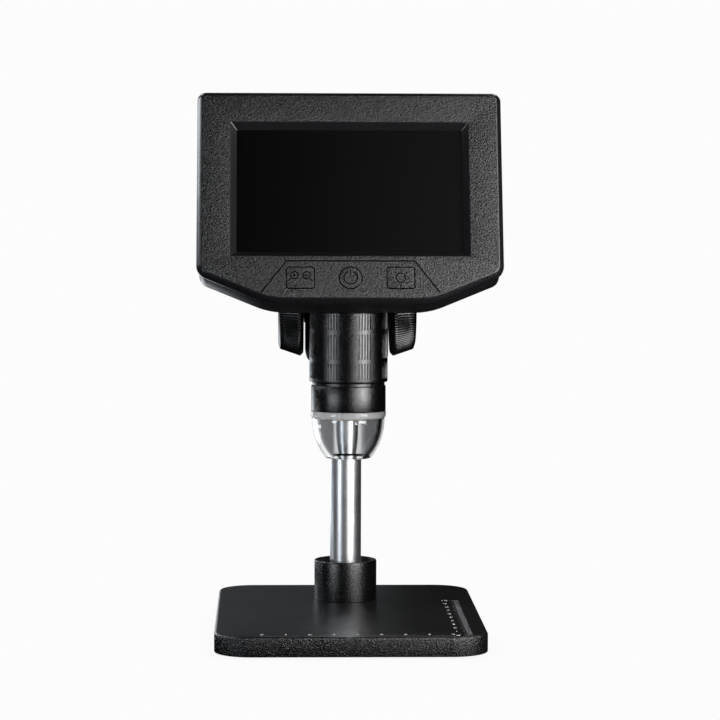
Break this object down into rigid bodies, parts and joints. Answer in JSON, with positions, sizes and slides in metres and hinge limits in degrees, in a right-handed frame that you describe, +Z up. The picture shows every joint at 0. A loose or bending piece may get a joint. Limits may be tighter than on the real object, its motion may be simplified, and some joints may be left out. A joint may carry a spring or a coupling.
{
  "type": "lcd digital microscope",
  "caption": "Digital microscope: a tilted screen head over a ridged barrel with a clear hood, racked up and down a metal column on a flat weighted base by two side knobs.",
  "frame": {"origin": "centre of the base's footprint, on the surface that the feet stand on", "axes": "+Z up along the column, +Y from the screen towards the column, +X to the right of a person facing the screen"},
  "size_m": [0.131, 0.158, 0.2358],
  "materials": {
    "grained_plastic": "fine leather grain",
    "satin_plastic": "satin",
    "knob_plastic": "satin, ribbed",
    "screen_glass": "gloss black",
    "clear_plastic": "clear, polished",
    "lens_glass": "polished",
    "column_metal": "satin turned",
    "steel": "plain",
    "foot_rubber": "matte",
    "bush_plastic": "smooth",
    "brass": "machined",
    "circuit_board": "solder mask",
    "white_board": "solder mask",
    "chip_plastic": "matte",
    "battery_foil": "foil",
    "flat_cable": "film",
    "lamp": "moulded lens"
  },
  "bodies": {
    "stand": {"base_shell": "satin_plastic", "ballast_plate": "steel", "base_cover": "satin_plastic", "rubber_feet": "foot_rubber", "base_screws": "steel", "column_collar": "satin_plastic", "column": "column_metal", "column_bolt": "steel", "column_washer": "steel", "collar_screw": "steel", "rack_strip": "brass", "column_cap": "satin_plastic"},
    "carriage": {"carriage_body": "satin_plastic", "guide_bushes": "bush_plastic", "pinion_bushes": "satin_plastic", "friction_pad": "bush_plastic", "tension_screw": "steel", "holder_arm": "satin_plastic", "holder_screws": "steel", "arm_screws": "steel", "rear_shell": "satin_plastic", "front_bezel": "grained_plastic", "screen_window": "screen_glass", "lcd_panel": "chip_plastic", "lcd_frame": "steel", "main_board": "circuit_board", "board_chips": "chip_plastic", "battery": "battery_foil", "usb_socket": "steel", "card_socket": "steel", "key_board": "circuit_board", "key_switches": "chip_plastic", "shell_screws": "steel", "barrel_tube": "satin_plastic", "ring_nut": "steel", "camera_board": "circuit_board", "image_sensor": "chip_plastic", "camera_ribbon": "flat_cable", "retaining_ring": "satin_plastic", "nose_ring": "grained_plastic", "dust_glass": "lens_glass", "led_board": "white_board", "leds": "lamp", "hood": "clear_plastic"},
    "pinion": {"pinion_shaft": "steel", "knob_left": "knob_plastic", "knob_right": "knob_plastic", "knob_screws": "steel", "knob_caps": "knob_plastic"},
    "focus_ring": {"focus_sleeve": "grained_plastic"},
    "lens_carrier": {"lens_carrier": "satin_plastic", "objective_lens": "lens_glass"},
    "zoom_key": {"zoom_key": "grained_plastic"},
    "power_key": {"power_key": "grained_plastic"},
    "light_key": {"light_key": "grained_plastic"}
  },
  "joints": [
    {"name": "carriage_slide", "type": "slide", "parent": "stand", "child": "carriage", "axis": [0, 0, 1], "range_m": [-0.04, 0.04]},
    {"name": "pinion_turn", "type": "hinge", "parent": "carriage", "child": "pinion", "pos_m": [0, 0.02232, 0.142], "axis": [1, 0, 0], "range_deg": [-480, 480]},
    {"name": "focus_ring_turn", "type": "hinge", "parent": "carriage", "child": "focus_ring", "pos_m": [0, -0.01, 0.125], "axis": [0, 0, 1], "range_deg": [-135, 135]},
    {"name": "lens_slide", "type": "slide", "parent": "carriage", "child": "lens_carrier", "axis": [0, 0, 1], "range_m": [-0.003, 0.003]},
    {"name": "zoom_key_press", "type": "slide", "parent": "carriage", "child": "zoom_key", "axis": [0, 0.9455, -0.3256], "range_m": [0, 0.0005], "stiffness_N_per_m": 600},
    {"name": "power_key_press", "type": "slide", "parent": "carriage", "child": "power_key", "axis": [0, 0.9455, -0.3256], "range_m": [0, 0.0005], "stiffness_N_per_m": 600},
    {"name": "light_key_press", "type": "slide", "parent": "carriage", "child": "light_key", "axis": [0, 0.9455, -0.3256], "range_m": [0, 0.0005], "stiffness_N_per_m": 600}
  ],
  "couplings": [
    {"joint": "pinion_turn", "follows": "carriage_slide", "rad_per_m": -208.33},
    {"joint": "focus_ring_turn", "follows": "lens_slide", "rad_per_m": 785}
  ]
}
